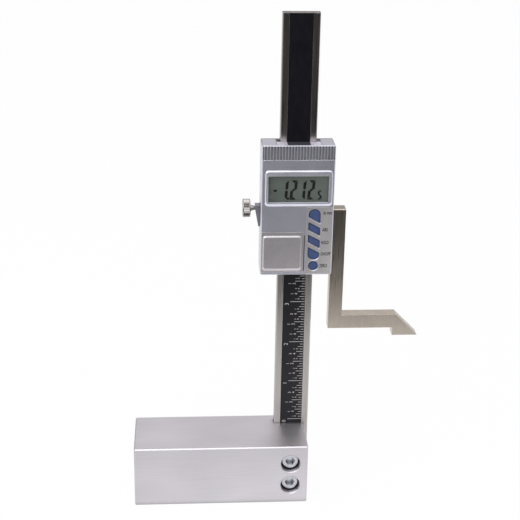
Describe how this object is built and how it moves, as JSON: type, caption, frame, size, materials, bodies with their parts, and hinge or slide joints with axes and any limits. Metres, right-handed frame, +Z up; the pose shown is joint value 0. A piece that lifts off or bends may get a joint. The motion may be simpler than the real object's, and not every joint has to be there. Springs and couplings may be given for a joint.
{
  "type": "digital height gauge",
  "caption": "Digital height gauge: block base, upright scaled beam, sliding display head with keys, lock screw and battery door, and an angled scriber arm.",
  "frame": {"origin": "centre of the underside of the base block", "axes": "+Z up along the beam, +X to the right towards the scriber's point, +Y away from the display's face"},
  "size_m": [0.164, 0.038, 0.2804],
  "materials": {
    "base_aluminium": "satin, fine ground",
    "screw_steel": "turned, bright",
    "beam_steel": "ground stainless steel",
    "board": "glass-fibre circuit board",
    "scale_print": "printed black film",
    "frame_metal": "machined",
    "brass": "machined",
    "plate_steel": "stamped and brushed",
    "wiper_rubber": "moulded, matt",
    "knob_nickel": "nickel plated, knurled",
    "key_plastic": "moulded, satin",
    "case_plastic": "silver painted ABS",
    "overlay_film": "printed polyester film",
    "lens_clear": "clear acrylic window",
    "lcd_glass": "reflective liquid crystal display",
    "holder_plastic": "moulded, white",
    "zebra_rubber": "layered silicone",
    "chip_epoxy": "potting resin",
    "switch_plastic": "moulded, black",
    "mat_rubber": "silicone",
    "cell_steel": "nickel plated can",
    "contact_spring": "plated spring steel",
    "door_plastic": "silver painted ABS",
    "arm_steel": "hardened, ground"
  },
  "bodies": {
    "stand": {"base_block": "base_aluminium", "base_screws": "screw_steel", "beam": "beam_steel", "scale_grating": "board", "scale_label": "scale_print", "beam_stop_screw": "screw_steel"},
    "slider": {"slider_frame": "frame_metal", "gib_strip": "brass", "gib_screws": "screw_steel", "back_plate": "plate_steel", "back_plate_screws": "screw_steel", "wiper_top": "wiper_rubber", "wiper_bottom": "wiper_rubber", "front_case": "case_plastic", "case_screws": "screw_steel", "key_overlay": "overlay_film", "display_lens": "lens_clear", "lcd_panel": "lcd_glass", "lcd_holder": "holder_plastic", "zebra_strip": "zebra_rubber", "circuit_board": "board", "sensor_plate": "board", "chip_cap": "chip_epoxy", "key_switches": "switch_plastic", "key_mat": "mat_rubber", "coin_cell": "cell_steel", "negative_contact": "contact_spring", "positive_contact": "contact_spring", "scriber_arm": "arm_steel", "arm_screws": "screw_steel"},
    "lock_pad": {"lock_pad": "brass"},
    "lock_screw": {"lock_screw": "knob_nickel"},
    "battery_door": {"battery_door": "door_plastic"},
    "key_units": {"key_units": "key_plastic"},
    "key_abs": {"key_abs": "key_plastic"},
    "key_hold": {"key_hold": "key_plastic"},
    "key_power": {"key_power": "key_plastic"},
    "key_zero": {"key_zero": "key_plastic"}
  },
  "joints": [
    {"name": "slider_travel", "type": "slide", "parent": "stand", "child": "slider", "axis": [0, 0, 1], "range_m": [-0.0949, 0.0575]},
    {"name": "lock_pad_slide", "type": "slide", "parent": "slider", "child": "lock_pad", "axis": [1, 0, 0], "range_m": [0, 0.00025]},
    {"name": "lock_screw_turn", "type": "hinge", "parent": "lock_pad", "child": "lock_screw", "pos_m": [0.0168, 0.0119, 0.1719], "axis": [1, 0, 0], "range_deg": [0, 205]},
    {"name": "battery_door_slide", "type": "slide", "parent": "slider", "child": "battery_door", "axis": [-1, 0, 0], "range_m": [0, 0.026]},
    {"name": "key_units_press", "type": "slide", "parent": "slider", "child": "key_units", "axis": [0, 1, 0], "range_m": [0, 0.0005], "stiffness_N_per_m": 500},
    {"name": "key_abs_press", "type": "slide", "parent": "slider", "child": "key_abs", "axis": [0, 1, 0], "range_m": [0, 0.0005], "stiffness_N_per_m": 500},
    {"name": "key_hold_press", "type": "slide", "parent": "slider", "child": "key_hold", "axis": [0, 1, 0], "range_m": [0, 0.0005], "stiffness_N_per_m": 500},
    {"name": "key_power_press", "type": "slide", "parent": "slider", "child": "key_power", "axis": [0, 1, 0], "range_m": [0, 0.0005], "stiffness_N_per_m": 500},
    {"name": "key_zero_press", "type": "slide", "parent": "slider", "child": "key_zero", "axis": [0, 1, 0], "range_m": [0, 0.0005], "stiffness_N_per_m": 500}
  ],
  "couplings": [
    {"joint": "lock_screw_turn", "follows": "lock_pad_slide", "rad_per_m": 13963}
  ]
}
